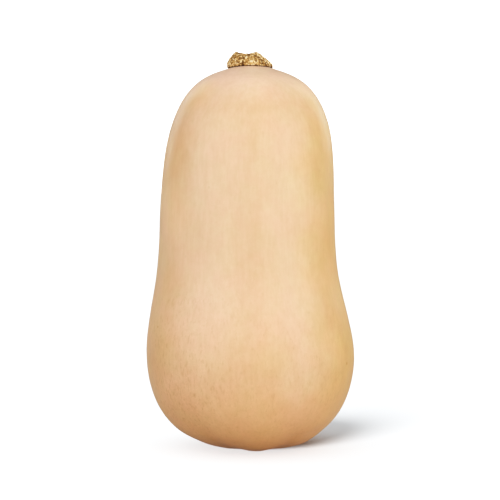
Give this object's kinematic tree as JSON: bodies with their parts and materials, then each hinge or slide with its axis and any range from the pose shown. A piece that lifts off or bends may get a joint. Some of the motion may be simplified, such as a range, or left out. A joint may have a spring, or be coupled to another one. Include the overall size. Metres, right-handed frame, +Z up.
{
  "type": "butternut squash",
  "caption": "Whole butternut squash standing on its blossom end, with a round bulb, a thick smooth neck and the corky stub of its cut stem on top.",
  "frame": {"origin": "under the middle of the bulb, at the level of the flat patch of the blossom end", "axes": "+Z up from the blossom end to the stem; the front faces -Y; the neck leans slightly to -X"},
  "size_m": [0.1198, 0.1197, 0.2279],
  "materials": {
    "rind": "smooth pale peach-tan squash skin, waxy and satin, a little more orange towards the blossom end",
    "stem_wood": "dry, rough, corky brown stem with pale ribs and dark pits"
  },
  "bodies": {
    "root": {"fruit": "rind", "stem": "stem_wood"}
  },
  "joints": []
}
